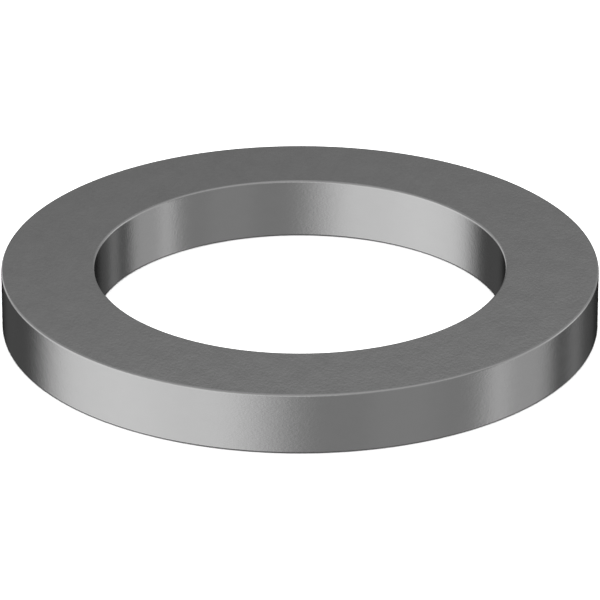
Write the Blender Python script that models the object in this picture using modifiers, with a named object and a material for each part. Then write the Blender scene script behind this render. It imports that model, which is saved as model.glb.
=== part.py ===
"""Flat washer: one plain steel ring with a round bore and lightly rounded rims.

Metres, +Z up. The ring lies on its lower face at Z = 0, and the bore's axis is the Z axis.
Run it with: blender --background --python part.py
"""

import math

import bpy

# Driving dimensions
OUTER_DIAMETER = 0.0381
BORE_DIAMETER = 0.0262
THICKNESS = 0.00397
OUTER_RIM_RADIUS = 0.00013
BORE_RIM_RADIUS = 0.00013

# Fineness of the turned surface: flats once round the ring, and flats across each rim's quarter round
TURN_FLATS = 128
RIM_FLATS = 3

# Finish: plain steel, satin
STEEL_COLOUR = (0.56, 0.56, 0.56, 1.0)
STEEL_ROUGHNESS = 0.3
STEEL_METALLIC = 1.0

COLLECTION_NAME = "flat_washer"
RING_NAME = "washer_ring"


def clear_scene():
    """Remove every object that the file starts with."""
    for item in list(bpy.data.objects):
        bpy.data.objects.remove(item, do_unlink=True)


def steel_material():
    """Plain satin steel."""
    material = bpy.data.materials.new("satin_steel")
    material.use_nodes = True
    shader = material.node_tree.nodes["Principled BSDF"]
    shader.inputs["Base Color"].default_value = STEEL_COLOUR
    shader.inputs["Roughness"].default_value = STEEL_ROUGHNESS
    shader.inputs["Metallic"].default_value = STEEL_METALLIC
    material.diffuse_color = STEEL_COLOUR
    return material


def quarter_round(centre_x, centre_z, radius, first_angle):
    """Points of a rim's quarter round in the XZ plane, turning clockwise from first_angle in degrees."""
    points = []
    for flat in range(RIM_FLATS + 1):
        angle = math.radians(first_angle - 90.0 * flat / RIM_FLATS)
        x = centre_x + radius * math.cos(angle)
        z = centre_z + radius * math.sin(angle)
        points.append((x, 0.0, z))
    return points


def ring_section():
    """The ring's cross-section at +X: down the outer wall, in along the lower face and up the bore."""
    outer_x = OUTER_DIAMETER / 2 - OUTER_RIM_RADIUS
    bore_x = BORE_DIAMETER / 2 + BORE_RIM_RADIUS
    section = []
    section += quarter_round(outer_x, THICKNESS - OUTER_RIM_RADIUS, OUTER_RIM_RADIUS, 90.0)
    section += quarter_round(outer_x, OUTER_RIM_RADIUS, OUTER_RIM_RADIUS, 0.0)
    section += quarter_round(bore_x, BORE_RIM_RADIUS, BORE_RIM_RADIUS, -90.0)
    section += quarter_round(bore_x, THICKNESS - BORE_RIM_RADIUS, BORE_RIM_RADIUS, 180.0)
    return section


def turned_ring(material, collection):
    """The washer itself: its section turned once round the Z axis."""
    points = ring_section()
    edges = [(index, (index + 1) % len(points)) for index in range(len(points))]
    mesh = bpy.data.meshes.new(RING_NAME)
    mesh.from_pydata(points, edges, [])
    mesh.materials.append(material)
    ring = bpy.data.objects.new(RING_NAME, mesh)
    collection.objects.link(ring)

    turn = ring.modifiers.new("Turn", "SCREW")
    turn.axis = "Z"
    turn.angle = math.tau
    turn.steps = TURN_FLATS
    turn.render_steps = TURN_FLATS
    turn.use_smooth_shade = True

    # Shading follows the large faces, so the flats look flat and only the rims look round.
    ring.modifiers.new("Flat faces", "WEIGHTED_NORMAL")
    return ring


def main():
    clear_scene()
    collection = bpy.data.collections.new(COLLECTION_NAME)
    bpy.context.scene.collection.children.link(collection)
    turned_ring(steel_material(), collection)


main()
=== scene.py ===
"""Flat washer: the finished look of one turned steel ring, standing on a pale floor in soft studio light.

It is laid out as an add-on with one operator for the ring and one for the stage, and runs as a script.
Sizes are in metres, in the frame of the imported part: the ring lies on Z = 0 with its bore on the Z axis.
"""

import math

import bpy
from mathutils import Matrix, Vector


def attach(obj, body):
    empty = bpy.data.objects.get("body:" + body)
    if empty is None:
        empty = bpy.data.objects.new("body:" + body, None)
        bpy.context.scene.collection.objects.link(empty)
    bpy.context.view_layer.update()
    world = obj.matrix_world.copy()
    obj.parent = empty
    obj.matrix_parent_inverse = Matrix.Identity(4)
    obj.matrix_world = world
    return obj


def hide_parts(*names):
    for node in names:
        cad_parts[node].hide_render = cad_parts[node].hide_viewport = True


bl_info = {
    "name": "Flat washer",
    "version": (1, 0, 0),
    "blender": (4, 5, 0),
    "location": "View3D > Sidebar > Washer",
    "description": "Models a satin steel flat washer and the studio it stands in",
    "category": "Object",
}

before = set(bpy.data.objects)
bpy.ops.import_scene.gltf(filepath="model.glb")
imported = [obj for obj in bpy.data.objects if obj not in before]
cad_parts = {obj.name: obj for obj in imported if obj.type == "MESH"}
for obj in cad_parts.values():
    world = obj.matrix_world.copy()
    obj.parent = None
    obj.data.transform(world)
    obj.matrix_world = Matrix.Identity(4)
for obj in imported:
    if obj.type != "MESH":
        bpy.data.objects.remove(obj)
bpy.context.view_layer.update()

CAD_NODE = "washer_ring"
ROW_BODY = "root"

SAME_PLACE = 1e-6  # metres: two heights or radii nearer than this are one


def ring_sizes():
    """Outer radius, bore radius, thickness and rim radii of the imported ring, read from its corners."""
    corners = [vertex.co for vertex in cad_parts[CAD_NODE].data.vertices]
    radii = [math.hypot(corner.x, corner.y) for corner in corners]
    top = max(corner.z for corner in corners)
    face_radii = [radius for radius, corner in zip(radii, corners) if corner.z > top - SAME_PLACE]
    outer, bore = max(radii), min(radii)
    return outer, bore, top, outer - max(face_radii), min(face_radii) - bore


OUTER_RADIUS, BORE_RADIUS, THICKNESS, OUTER_RIM, BORE_RIM = ring_sizes()


# ---------------------------------------------------------------- settings


class WasherRingSettings(bpy.types.PropertyGroup):
    """Sizes of the ring."""

    outer_diameter: bpy.props.FloatProperty(
        name="Outer diameter",
        description="Across the outer wall",
        default=2 * OUTER_RADIUS,
        min=0.002,
        precision=5,
        unit="LENGTH",
    )
    bore_diameter: bpy.props.FloatProperty(
        name="Bore diameter",
        description="Across the hole for the bolt",
        default=2 * BORE_RADIUS,
        min=0.001,
        precision=5,
        unit="LENGTH",
    )
    thickness: bpy.props.FloatProperty(
        name="Thickness",
        description="From the lower face to the upper face",
        default=THICKNESS,
        min=0.0002,
        precision=5,
        unit="LENGTH",
    )
    outer_rim: bpy.props.FloatProperty(
        name="Outer rim radius",
        description="Rounding between the outer wall and each face",
        default=OUTER_RIM,
        min=0.00001,
        precision=5,
        unit="LENGTH",
    )
    bore_rim: bpy.props.FloatProperty(
        name="Bore rim radius",
        description="Rounding between the bore and each face",
        default=BORE_RIM,
        min=0.00001,
        precision=5,
        unit="LENGTH",
    )
    flats: bpy.props.IntProperty(
        name="Flats",
        description="Flats once round the ring",
        default=512,
        min=32,
        max=2048,
    )
    rim_steps: bpy.props.IntProperty(
        name="Rim steps",
        description="Flats across each rounded rim",
        default=8,
        min=1,
        max=24,
    )


class WasherSteelSettings(bpy.types.PropertyGroup):
    """Colours and polish of the steel."""

    face_colour: bpy.props.FloatVectorProperty(
        name="Face steel",
        description="Colour of the two flat faces",
        subtype="COLOR",
        size=3,
        min=0.0,
        max=1.0,
        default=(0.60, 0.60, 0.60),
    )
    wall_colour: bpy.props.FloatVectorProperty(
        name="Wall steel",
        description="Colour of the outer wall and the bore",
        subtype="COLOR",
        size=3,
        min=0.0,
        max=1.0,
        default=(0.60, 0.60, 0.60),
    )
    # The rim steel is lighter than the faces: partly worn metal, partly a painted highlight along each rim.
    rim_wear_and_highlight_colour: bpy.props.FloatVectorProperty(
        name="Rim steel",
        description="Colour where handling has worn the rims bright",
        subtype="COLOR",
        size=3,
        min=0.0,
        max=1.0,
        default=(0.66, 0.66, 0.66),
    )
    roughness: bpy.props.FloatProperty(
        name="Roughness",
        description="Blur of the reflections",
        subtype="FACTOR",
        default=0.17,
        min=0.02,
        max=1.0,
    )


class WasherStageSettings(bpy.types.PropertyGroup):
    """The floor, the light and the camera."""

    floor_colour: bpy.props.FloatVectorProperty(
        name="Floor",
        description="Colour of the floor",
        subtype="COLOR",
        size=3,
        min=0.0,
        max=1.0,
        default=(0.90, 0.90, 0.90),
    )
    floor_light: bpy.props.FloatProperty(
        name="Floor light",
        description="Strength of the overhead light on the floor",
        default=5.0,
        min=0.0,
    )
    camera_distance: bpy.props.FloatProperty(
        name="Camera distance",
        description="From the middle of the ring to the camera",
        default=0.33185,
        min=0.05,
        precision=5,
        unit="LENGTH",
    )
    camera_height: bpy.props.FloatProperty(
        name="Camera elevation",
        description="How far above the horizon the camera stands, seen from the ring",
        subtype="ANGLE",
        default=math.radians(24.983),
    )
    camera_tilt: bpy.props.FloatProperty(
        name="Camera tilt",
        description="How far below the horizon the camera looks",
        subtype="ANGLE",
        default=math.radians(25.072),
    )
    focal_length: bpy.props.FloatProperty(
        name="Focal length",
        description="On a 36 mm wide sensor",
        default=311.3,
        min=10.0,
        unit="CAMERA",
    )


# ---------------------------------------------------------------- node helpers


def new_group(name, inputs, outputs):
    """An empty shader node group with float or vector sockets, and its input and output nodes."""
    group = bpy.data.node_groups.new(name, "ShaderNodeTree")
    for label, kind, value in inputs:
        socket = group.interface.new_socket(name=label, in_out="INPUT", socket_type=kind)
        if value is not None:
            socket.default_value = value
    for label, kind in outputs:
        group.interface.new_socket(name=label, in_out="OUTPUT", socket_type=kind)
    return group, group.nodes.new("NodeGroupInput"), group.nodes.new("NodeGroupOutput")


def wire(tree, source, target):
    """Plug a socket, or set a constant, into another socket."""
    if isinstance(source, (int, float, tuple)):
        target.default_value = source
    else:
        tree.links.new(source, target)


def maths(tree, operation, *values):
    """A Math node's result."""
    node = tree.nodes.new("ShaderNodeMath")
    node.operation = operation
    for value, socket in zip(values, node.inputs):
        wire(tree, value, socket)
    return node.outputs[0]


def soft_step(tree, value, low, high):
    """0 up to low, 1 from high on, and a smooth rise between them. Low may be the larger number."""
    node = tree.nodes.new("ShaderNodeMapRange")
    node.interpolation_type = "SMOOTHSTEP"
    wire(tree, value, node.inputs["Value"])
    wire(tree, low, node.inputs["From Min"])
    wire(tree, high, node.inputs["From Max"])
    return node.outputs["Result"]


def noise(tree, vector, scale, detail):
    """A Noise Texture's value, 0 to 1."""
    node = tree.nodes.new("ShaderNodeTexNoise")
    wire(tree, vector, node.inputs["Vector"])
    wire(tree, scale, node.inputs["Scale"])
    node.inputs["Detail"].default_value = detail
    return node.outputs["Fac"]


def placed(tree, group, values):
    """A group node with the inputs that values names plugged or set."""
    node = tree.nodes.new("ShaderNodeGroup")
    node.node_tree = group
    for label, value in values.items():
        wire(tree, value, node.inputs[label])
    return node


def mixed(tree, factor, low, high):
    """A colour between two colours, each a socket or a constant."""
    node = tree.nodes.new("ShaderNodeMix")
    node.data_type = "RGBA"
    colour_inputs = [socket for socket in node.inputs if socket.type == "RGBA"]
    wire(tree, factor, node.inputs["Factor"])
    wire(tree, low, colour_inputs[0])
    wire(tree, high, colour_inputs[1])
    return next(socket for socket in node.outputs if socket.type == "RGBA")


# ---------------------------------------------------------------- steel

# Inputs of the "Metal mottle" group for the flat faces and for the walls. Ripple and swell are the widths
# of the fine and the slow waves, and the depths are their heights, all in metres. Grain squeezes the
# pattern along each axis, so a value below 1 draws it out. Lean is the share of the height that is lost
# towards the smoother back left.
FACE_SKIN = {
    "Ripple": 0.00013,
    "Depth": 0.0000065,
    "Swell": 0.0012,
    "Swell Depth": 0.000014,
    "Grain": (1.0, 0.5, 1.0),
    "Lean": 0.55,
}
WALL_SKIN = {
    "Ripple": 0.00014,
    "Depth": 0.0000085,
    "Swell": 0.0009,
    "Swell Depth": 0.000006,
    "Grain": (0.85, 0.85, 1.7),
    "Lean": 0.0,
}
FACE_TONES = 0.09  # share by which the colour goes up and down with the skin
WALL_TONES = 0.04
ROUGHNESS_RANGE = 0.04  # from the smoothest to the dullest patch
WORN_POLISH = 0.02  # how much smoother the worn rims are
WAVE_DETAIL = 2.0  # finer layers in the ripple and the swell
WEAR_AND_HIGHLIGHT_REACH = 0.0002  # metres that the wear and the painted rim highlight reach from a rim
WEAR_AND_HIGHLIGHT_UNEVENNESS = 0.00012  # metres between its longest and its shortest reach
RAGGED_GRAIN = 0.0004  # metres: size of the uneven patches along the worn rims with their painted highlight
RAGGED_DETAIL = 3.0


def mottle_group(sizes):
    """Fine uneven skin of metal: ripple and swell as a height in metres, and their tone from 0 to 1."""
    group, start, end = new_group(
        "Metal mottle",
        (
            ("Vector", "NodeSocketVector", None),
            ("Ripple", "NodeSocketFloat", FACE_SKIN["Ripple"]),
            ("Depth", "NodeSocketFloat", FACE_SKIN["Depth"]),
            ("Swell", "NodeSocketFloat", FACE_SKIN["Swell"]),
            ("Swell Depth", "NodeSocketFloat", FACE_SKIN["Swell Depth"]),
            ("Grain", "NodeSocketVector", FACE_SKIN["Grain"]),
            ("Lean", "NodeSocketFloat", FACE_SKIN["Lean"]),
        ),
        (("Height", "NodeSocketFloat"), ("Tone", "NodeSocketFloat")),
    )
    stretch = group.nodes.new("ShaderNodeVectorMath")
    stretch.operation = "MULTIPLY"
    wire(group, start.outputs["Vector"], stretch.inputs[0])
    wire(group, start.outputs["Grain"], stretch.inputs[1])
    vector = stretch.outputs["Vector"]
    ripple_scale = maths(group, "DIVIDE", 1.0, start.outputs["Ripple"])
    swell_scale = maths(group, "DIVIDE", 1.0, start.outputs["Swell"])
    ripple = noise(group, vector, ripple_scale, WAVE_DETAIL)
    swell = noise(group, vector, swell_scale, WAVE_DETAIL)
    ripple_height = maths(group, "MULTIPLY", ripple, start.outputs["Depth"])
    swell_height = maths(group, "MULTIPLY", swell, start.outputs["Swell Depth"])
    both = maths(group, "ADD", ripple_height, swell_height)

    split = group.nodes.new("ShaderNodeSeparateXYZ")
    wire(group, start.outputs["Vector"], split.inputs[0])
    x, y, _ = split.outputs
    towards_front_right = maths(group, "SUBTRACT", x, y)
    outer_radius = sizes.outer_diameter / 2
    smooth_side = soft_step(group, towards_front_right, outer_radius, -outer_radius)
    lost = maths(group, "MULTIPLY", smooth_side, start.outputs["Lean"])
    kept = maths(group, "SUBTRACT", 1.0, lost)
    wire(group, maths(group, "MULTIPLY", both, kept), end.inputs["Height"])

    half_swell = maths(group, "MULTIPLY", swell, 0.5)
    wire(group, maths(group, "MULTIPLY_ADD", ripple, 0.5, half_swell), end.inputs["Tone"])
    return group


def rim_wear_and_highlight_group(sizes):
    """How far the rims are brightened, partly as handling wear and partly as a painted highlight: 1 at a
    sharp rim, fading unevenly within the reach.
    """
    group, start, end = new_group(
        "Rim wear and highlight",
        (
            ("Vector", "NodeSocketVector", None),
            ("Outer Radius", "NodeSocketFloat", sizes.outer_diameter / 2),
            ("Bore Radius", "NodeSocketFloat", sizes.bore_diameter / 2),
            ("Thickness", "NodeSocketFloat", sizes.thickness),
            ("Reach", "NodeSocketFloat", WEAR_AND_HIGHLIGHT_REACH),
            ("Unevenness", "NodeSocketFloat", WEAR_AND_HIGHLIGHT_UNEVENNESS),
        ),
        (("Wear and highlight", "NodeSocketFloat"),),
    )
    split = group.nodes.new("ShaderNodeSeparateXYZ")
    wire(group, start.outputs["Vector"], split.inputs[0])
    x, y, z = split.outputs
    radius_squared = maths(group, "MULTIPLY_ADD", x, x, maths(group, "MULTIPLY", y, y))
    radius = maths(group, "SQRT", radius_squared)
    from_outer = maths(group, "SUBTRACT", start.outputs["Outer Radius"], radius)
    from_bore = maths(group, "SUBTRACT", radius, start.outputs["Bore Radius"])
    from_wall = maths(group, "MINIMUM", from_outer, from_bore)
    from_top = maths(group, "SUBTRACT", start.outputs["Thickness"], z)
    from_face = maths(group, "MINIMUM", z, from_top)
    away = maths(group, "MAXIMUM", from_wall, from_face)
    patches = noise(group, start.outputs["Vector"], 1.0 / RAGGED_GRAIN, RAGGED_DETAIL)
    ragged = maths(group, "SUBTRACT", patches, 0.5)
    shifted = maths(group, "MULTIPLY_ADD", ragged, start.outputs["Unevenness"], away)
    reached = soft_step(group, shifted, 0.0, start.outputs["Reach"])
    wire(group, maths(group, "SUBTRACT", 1.0, reached), end.inputs["Wear and highlight"])
    return group


def steel(name, colour, tones, skin_values, settings, groups):
    """Satin steel: a mottled skin whose tone and polish vary with it, and rims made brighter, partly as
    wear and partly as a painted highlight.
    """
    mottle, wear_and_highlight = groups
    material = bpy.data.materials.new(name)
    material.use_nodes = True
    tree = material.node_tree
    shader = tree.nodes["Principled BSDF"]
    shader.inputs["Metallic"].default_value = 1.0
    place = tree.nodes.new("ShaderNodeTexCoord").outputs["Object"]
    skin = placed(tree, mottle, {"Vector": place, **skin_values})
    worn_and_highlit = placed(tree, wear_and_highlight, {"Vector": place}).outputs["Wear and highlight"]

    dark = tuple((1.0 - tones) * part for part in colour) + (1.0,)
    light = tuple((1.0 + tones) * part for part in colour) + (1.0,)
    tone = mixed(tree, skin.outputs["Tone"], dark, light)
    rim = tuple(settings.rim_wear_and_highlight_colour) + (1.0,)
    # The rims get the lighter rim steel: partly wear, partly a painted highlight along the rims.
    wire(tree, mixed(tree, worn_and_highlit, tone, rim), shader.inputs["Base Color"])

    smoothest = settings.roughness - ROUGHNESS_RANGE / 2
    uneven = maths(tree, "MULTIPLY_ADD", skin.outputs["Tone"], ROUGHNESS_RANGE, smoothest)
    polished = maths(tree, "MULTIPLY_ADD", worn_and_highlit, -WORN_POLISH, uneven)
    wire(tree, polished, shader.inputs["Roughness"])

    bump = tree.nodes.new("ShaderNodeBump")
    bump.inputs["Strength"].default_value = 1.0
    bump.inputs["Distance"].default_value = 1.0
    wire(tree, skin.outputs["Height"], bump.inputs["Height"])
    wire(tree, bump.outputs["Normal"], shader.inputs["Normal"])
    return material


# ---------------------------------------------------------------- ring

MERGE_DISTANCE = 1e-7  # metres
SMOOTH_UP_TO = math.radians(30.0)  # edges that turn by less than this are shaded smooth
BORDER_SHARE = 0.25  # the holding border's width, as a share of the smaller rim radius
FLAT_NORMAL = 0.999  # a normal whose Z, up or down, is above this belongs to a flat face


def deselect_all():
    """Object mode, with nothing selected."""
    if bpy.context.mode != "OBJECT":
        bpy.ops.object.mode_set(mode="OBJECT")
    bpy.ops.object.select_all(action="DESELECT")


def pick(mesh, kind, wanted):
    """Select the faces or edges of the edited mesh that the test wants, and nothing else."""
    bpy.ops.mesh.select_mode(type=kind)
    bpy.ops.mesh.select_all(action="DESELECT")
    bpy.ops.object.mode_set(mode="OBJECT")
    for item in mesh.polygons if kind == "FACE" else mesh.edges:
        item.select = wanted(item)
    bpy.ops.object.mode_set(mode="EDIT")


class WASHER_OT_ring(bpy.types.Operator):
    """Model the steel ring from a round blank: bored, with its rims rounded"""

    bl_idname = "washer.ring"
    bl_label = "Steel ring"

    def execute(self, context):
        sizes = context.scene.washer_ring
        deselect_all()
        ring = self.blank(sizes)
        self.bore(ring.data, sizes)
        self.round_rims(ring.data, sizes)
        self.hold_flats(ring.data, sizes)
        self.finish()
        self.paint(ring, sizes, context.scene.washer_steel)
        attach(ring, ROW_BODY)
        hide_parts(CAD_NODE)
        return {"FINISHED"}

    def blank(self, sizes):
        """A round disc, in edit mode. It stays out of reflections, so the steel mirrors only the studio."""
        bpy.ops.mesh.primitive_cylinder_add(
            vertices=sizes.flats,
            radius=sizes.outer_diameter / 2,
            depth=sizes.thickness,
            end_fill_type="NGON",
            location=(0.0, 0.0, sizes.thickness / 2),
        )
        ring = bpy.context.active_object
        ring.name = "finished_ring"
        ring.visible_glossy = False
        ring.data.name = "finished_ring"
        bpy.ops.object.transform_apply(location=True, rotation=True, scale=True)
        bpy.ops.object.mode_set(mode="EDIT")
        return ring

    def bore(self, mesh, sizes):
        """Inset both ends to the bore, take the discs out and join their edges with the bore's wall."""
        face_width = (sizes.outer_diameter - sizes.bore_diameter) / 2
        near_bore = sizes.bore_diameter / 2 + face_width / 2

        def is_end(face):
            return len(face.vertices) > 4

        def on_bore(edge):
            return all(mesh.vertices[index].co.xy.length < near_bore for index in edge.vertices)

        pick(mesh, "FACE", is_end)
        bpy.ops.mesh.inset(thickness=face_width, depth=0.0, use_even_offset=True)
        bpy.ops.mesh.delete(type="ONLY_FACE")
        pick(mesh, "EDGE", on_bore)
        bpy.ops.mesh.bridge_edge_loops()

    def round_rims(self, mesh, sizes):
        """Round the four rims: the outer pair, then the bore's pair."""
        middle = (sizes.outer_diameter + sizes.bore_diameter) / 4

        def rims(outer):
            def wanted(edge):
                first, last = (mesh.vertices[index].co for index in edge.vertices)
                round_edge = abs(first.xy.length - last.xy.length) < SAME_PLACE
                level = abs(first.z - last.z) < SAME_PLACE
                return round_edge and level and (first.xy.length > middle) == outer

            return wanted

        for outer, radius in ((True, sizes.outer_rim), (False, sizes.bore_rim)):
            pick(mesh, "EDGE", rims(outer))
            bpy.ops.mesh.bevel(offset=radius, segments=sizes.rim_steps, profile=0.5, affect="EDGES")

    def hold_flats(self, mesh, sizes):
        """A narrow border on each wide face, so that the rims' shading stays on the rims."""
        wider_than_rims = 4 * (sizes.outer_rim + sizes.bore_rim)
        border = BORDER_SHARE * min(sizes.outer_rim, sizes.bore_rim)

        def spans(values):
            return max(values) - min(values) > wider_than_rims

        def is_face(face):
            return spans([mesh.vertices[index].co.xy.length for index in face.vertices])

        def is_wall(face):
            return spans([mesh.vertices[index].co.z for index in face.vertices])

        for wanted in (is_face, is_wall):
            pick(mesh, "FACE", wanted)
            bpy.ops.mesh.inset(thickness=border, depth=0.0, use_even_offset=True)

    def finish(self):
        """Merge doubles, face everything outwards and shade the round surfaces smooth."""
        bpy.ops.mesh.select_all(action="SELECT")
        bpy.ops.mesh.remove_doubles(threshold=MERGE_DISTANCE)
        bpy.ops.mesh.normals_make_consistent(inside=False)
        bpy.ops.object.mode_set(mode="OBJECT")
        bpy.ops.object.shade_smooth_by_angle(angle=SMOOTH_UP_TO)

    def paint(self, ring, sizes, settings):
        """Face steel on the flats, and wall steel on the outer wall, the bore and the rims."""
        groups = (mottle_group(sizes), rim_wear_and_highlight_group(sizes))
        face = steel("Face steel", settings.face_colour, FACE_TONES, FACE_SKIN, settings, groups)
        wall = steel("Wall steel", settings.wall_colour, WALL_TONES, WALL_SKIN, settings, groups)
        ring.data.materials.clear()
        ring.data.materials.append(face)
        ring.data.materials.append(wall)
        for polygon in ring.data.polygons:
            polygon.material_index = 0 if abs(polygon.normal.z) > FLAT_NORMAL else 1


# ---------------------------------------------------------------- stage

FLOOR_RADIUS = 3.0  # metres
FLOOR_FLATS = 96
PAPER_ROUGHNESS = 0.9
LAMP_HEIGHT = 1.0  # metres
LAMP_SPREAD = math.radians(60.0)  # how wide the overhead light looks from the floor
SENSOR_WIDTH = 36.0  # millimetres
NEAREST, FARTHEST = 0.01, 10.0  # metres that the camera sees between
SEEN_BACKGROUND = 1.0  # brightness behind the floor, for the camera alone

# The studio's panels, each as it is seen from the ring. Directions are in degrees: a bearing of 0 is
# towards the camera and +90 is to the right, and elevation is above the horizon. The softness is how far
# an edge fades to either side of its place. Each panel is hung in front of the ones before it:
#   name, bearing, half width, side softness, lowest, highest, end softness, brightness
SURROUND = 0.08  # brightness where no panel hangs
PANELS = (
    ("floor card", 0.0, 200.0, 1.0, -200.0, -52.0, 10.0, 0.15),
    ("dark back", 178.0, 22.0, 9.0, -90.0, 5.0, 12.0, 0.012),
    ("front fill", 20.0, 80.0, 10.0, -45.0, 50.0, 14.0, 0.275),
    ("front card", 40.5, 13.5, 6.0, -45.0, 40.0, 14.0, 0.305),
    ("right panel", 93.0, 19.5, 7.0, -45.0, 45.0, 14.0, 0.435),
    ("right strip", 82.0, 3.5, 5.5, -45.0, 45.0, 14.0, 0.66),
    ("far right strip", 131.5, 4.5, 8.5, -45.0, 30.0, 14.0, 0.27),
    ("left softbox", -57.0, 44.5, 21.0, -45.0, 60.0, 14.0, 0.855),
    ("left softbox back half", -84.0, 26.7, 19.0, -45.0, 60.0, 14.0, 0.855),
    ("left softbox core", -72.0, 16.0, 16.0, -45.0, 50.0, 14.0, 0.92),
    ("front softbox", -15.0, 30.0, 20.0, 5.0, 60.0, 20.0, 0.74),
    ("back card", 180.0, 60.0, 15.0, 5.0, 90.0, 12.0, 0.127),
    ("back right card", 125.0, 55.0, 25.0, 5.0, 90.0, 12.0, 0.238),
    ("back left softbox", -148.0, 12.0, 8.0, -4.0, 27.0, 10.0, 0.63),
    ("back left strip", -118.0, 14.0, 9.0, -8.0, 31.0, 9.0, 0.66),
    ("back right softbox", 117.0, 18.0, 13.0, -6.0, 50.0, 10.0, 0.68),
    ("back right strip", 149.0, 11.0, 8.0, -3.0, 24.0, 9.0, 0.36),
    ("right upper strip", 95.0, 14.0, 8.0, -2.0, 30.0, 8.0, 0.52),
    ("overhead softbox", 0.0, 200.0, 1.0, 27.25, 200.0, 3.75, 0.445),
    ("back upper card", 180.0, 60.0, 15.0, 33.0, 60.0, 6.0, 0.30),
    ("overhead left half", -90.0, 90.0, 60.0, 64.0, 200.0, 12.0, 0.36),
)


def panel_group():
    """One soft-edged panel in front of what is behind it. Angles are in radians."""
    names = ["Bearing", "Elevation", "Centre", "Half Width", "Side Softness"]
    names += ["Lowest", "Highest", "End Softness", "Brightness", "Behind"]
    group, start, end = new_group(
        "Studio panel",
        [(name, "NodeSocketFloat", 0.0) for name in names],
        (("Light", "NodeSocketFloat"),),
    )
    given = start.outputs
    turned = maths(group, "SUBTRACT", given["Bearing"], given["Centre"])
    aside = maths(group, "ABSOLUTE", maths(group, "WRAP", turned, math.pi, -math.pi))
    inner = maths(group, "SUBTRACT", given["Half Width"], given["Side Softness"])
    outer = maths(group, "ADD", given["Half Width"], given["Side Softness"])
    across = maths(group, "SUBTRACT", 1.0, soft_step(group, aside, inner, outer))
    low_start = maths(group, "SUBTRACT", given["Lowest"], given["End Softness"])
    low_end = maths(group, "ADD", given["Lowest"], given["End Softness"])
    above = soft_step(group, given["Elevation"], low_start, low_end)
    high_start = maths(group, "SUBTRACT", given["Highest"], given["End Softness"])
    high_end = maths(group, "ADD", given["Highest"], given["End Softness"])
    below = maths(group, "SUBTRACT", 1.0, soft_step(group, given["Elevation"], high_start, high_end))
    cover = maths(group, "MULTIPLY", across, maths(group, "MULTIPLY", above, below))
    change = maths(group, "SUBTRACT", given["Brightness"], given["Behind"])
    light = maths(group, "MULTIPLY_ADD", cover, change, given["Behind"])
    wire(group, light, end.inputs["Light"])
    return group


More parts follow.
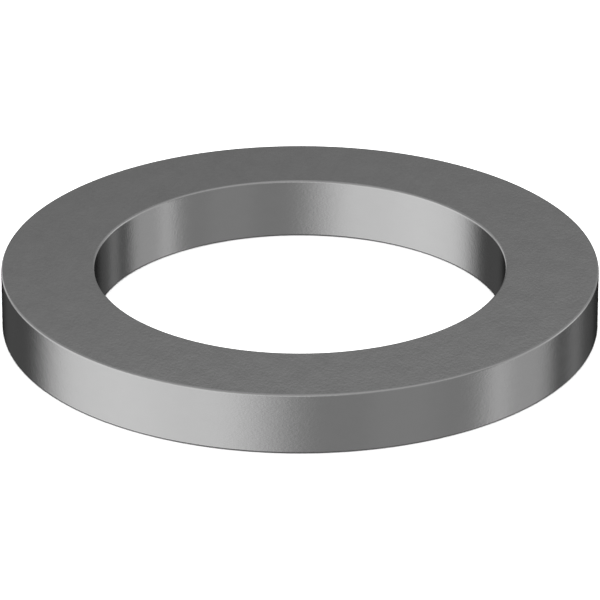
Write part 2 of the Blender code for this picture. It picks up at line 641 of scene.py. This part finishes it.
class WASHER_OT_stage(bpy.types.Operator):
    """Set up the floor, the studio light and the camera"""

    bl_idname = "washer.stage"
    bl_label = "Stage"

    def execute(self, context):
        settings = context.scene.washer_stage
        deselect_all()
        self.floor(settings)
        self.overhead_light(settings)
        self.studio(context.scene)
        self.camera(context.scene, settings)
        context.scene.view_settings.view_transform = "Standard"
        return {"FINISHED"}

    def floor(self, settings):
        """A wide pale disc that the ring stands on. The steel doesn't mirror it."""
        bpy.ops.mesh.primitive_circle_add(vertices=FLOOR_FLATS, radius=FLOOR_RADIUS, fill_type="NGON")
        floor = bpy.context.active_object
        floor.name = "floor"
        paper = bpy.data.materials.new("Pale floor")
        paper.use_nodes = True
        shader = paper.node_tree.nodes["Principled BSDF"]
        shader.inputs["Base Color"].default_value = list(settings.floor_colour) + [1.0]
        shader.inputs["Roughness"].default_value = PAPER_ROUGHNESS
        shader.inputs["Specular IOR Level"].default_value = 0.0
        floor.data.materials.append(paper)
        floor.visible_glossy = False

    def overhead_light(self, settings):
        """Wide, even light from above, for the floor and its shadow. The steel doesn't mirror it."""
        lamp = bpy.data.lights.new("Overhead light", "SUN")
        lamp.energy = settings.floor_light
        lamp.angle = LAMP_SPREAD
        light = bpy.data.objects.new("Overhead light", lamp)
        light.location = (0.0, 0.0, LAMP_HEIGHT)
        light.visible_glossy = False
        bpy.context.scene.collection.objects.link(light)

    def studio(self, scene):
        """Soft panels all round the ring as the world, and plain white behind the floor for the camera."""
        world = bpy.data.worlds.new("Studio")
        world.use_nodes = True
        scene.world = world
        tree = world.node_tree
        split = tree.nodes.new("ShaderNodeSeparateXYZ")
        wire(tree, tree.nodes.new("ShaderNodeTexCoord").outputs["Generated"], split.inputs[0])
        x, y, z = split.outputs
        bearing = maths(tree, "ARCTAN2", x, maths(tree, "MULTIPLY", y, -1.0))
        elevation = maths(tree, "ARCSINE", z)
        group = panel_group()
        light = SURROUND
        for name, centre, half_width, side, lowest, highest, end, brightness in PANELS:
            values = {
                "Bearing": bearing,
                "Elevation": elevation,
                "Centre": math.radians(centre),
                "Half Width": math.radians(half_width),
                "Side Softness": math.radians(side),
                "Lowest": math.radians(lowest),
                "Highest": math.radians(highest),
                "End Softness": math.radians(end),
                "Brightness": brightness,
                "Behind": light,
            }
            panel = placed(tree, group, values)
            panel.label = name
            light = panel.outputs["Light"]
        seen = tree.nodes.new("ShaderNodeLightPath").outputs["Is Camera Ray"]
        shown = tree.nodes.new("ShaderNodeMix")
        wire(tree, seen, shown.inputs["Factor"])
        wire(tree, light, shown.inputs["A"])
        wire(tree, SEEN_BACKGROUND, shown.inputs["B"])
        wire(tree, shown.outputs["Result"], tree.nodes["Background"].inputs["Color"])

    def camera(self, scene, settings):
        """A long lens from in front and above."""
        data = bpy.data.cameras.new("Camera")
        data.sensor_width = SENSOR_WIDTH
        data.lens = settings.focal_length
        data.clip_start = NEAREST
        data.clip_end = FARTHEST
        camera = bpy.data.objects.new("Camera", data)
        up = settings.camera_height
        away = Vector((0.0, -math.cos(up), math.sin(up))) * settings.camera_distance
        camera.location = Vector((0.0, 0.0, THICKNESS / 2)) + away
        camera.rotation_euler = (math.pi / 2 - settings.camera_tilt, 0.0, 0.0)
        scene.collection.objects.link(camera)
        scene.camera = camera


# ---------------------------------------------------------------- panel and registration


class WASHER_PT_panel(bpy.types.Panel):
    """The washer's sizes, colours and operators"""

    bl_idname = "WASHER_PT_panel"
    bl_label = "Flat washer"
    bl_space_type = "VIEW_3D"
    bl_region_type = "UI"
    bl_category = "Washer"

    def draw(self, context):
        layout = self.layout
        for label, group, operator in (
            ("Ring", context.scene.washer_ring, WASHER_OT_ring.bl_idname),
            ("Steel", context.scene.washer_steel, None),
            ("Stage", context.scene.washer_stage, WASHER_OT_stage.bl_idname),
        ):
            box = layout.box()
            box.label(text=label)
            for name in group.__annotations__:
                box.prop(group, name)
            if operator:
                box.operator(operator)


CLASSES = (
    WasherRingSettings,
    WasherSteelSettings,
    WasherStageSettings,
    WASHER_OT_ring,
    WASHER_OT_stage,
    WASHER_PT_panel,
)


def register():
    for item in CLASSES:
        bpy.utils.register_class(item)
    bpy.types.Scene.washer_ring = bpy.props.PointerProperty(type=WasherRingSettings)
    bpy.types.Scene.washer_steel = bpy.props.PointerProperty(type=WasherSteelSettings)
    bpy.types.Scene.washer_stage = bpy.props.PointerProperty(type=WasherStageSettings)


def unregister():
    del bpy.types.Scene.washer_stage
    del bpy.types.Scene.washer_steel
    del bpy.types.Scene.washer_ring
    for item in reversed(CLASSES):
        bpy.utils.unregister_class(item)


def main():
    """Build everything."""
    register()
    bpy.ops.washer.ring()
    bpy.ops.washer.stage()


if __name__ == "__main__":
    main()
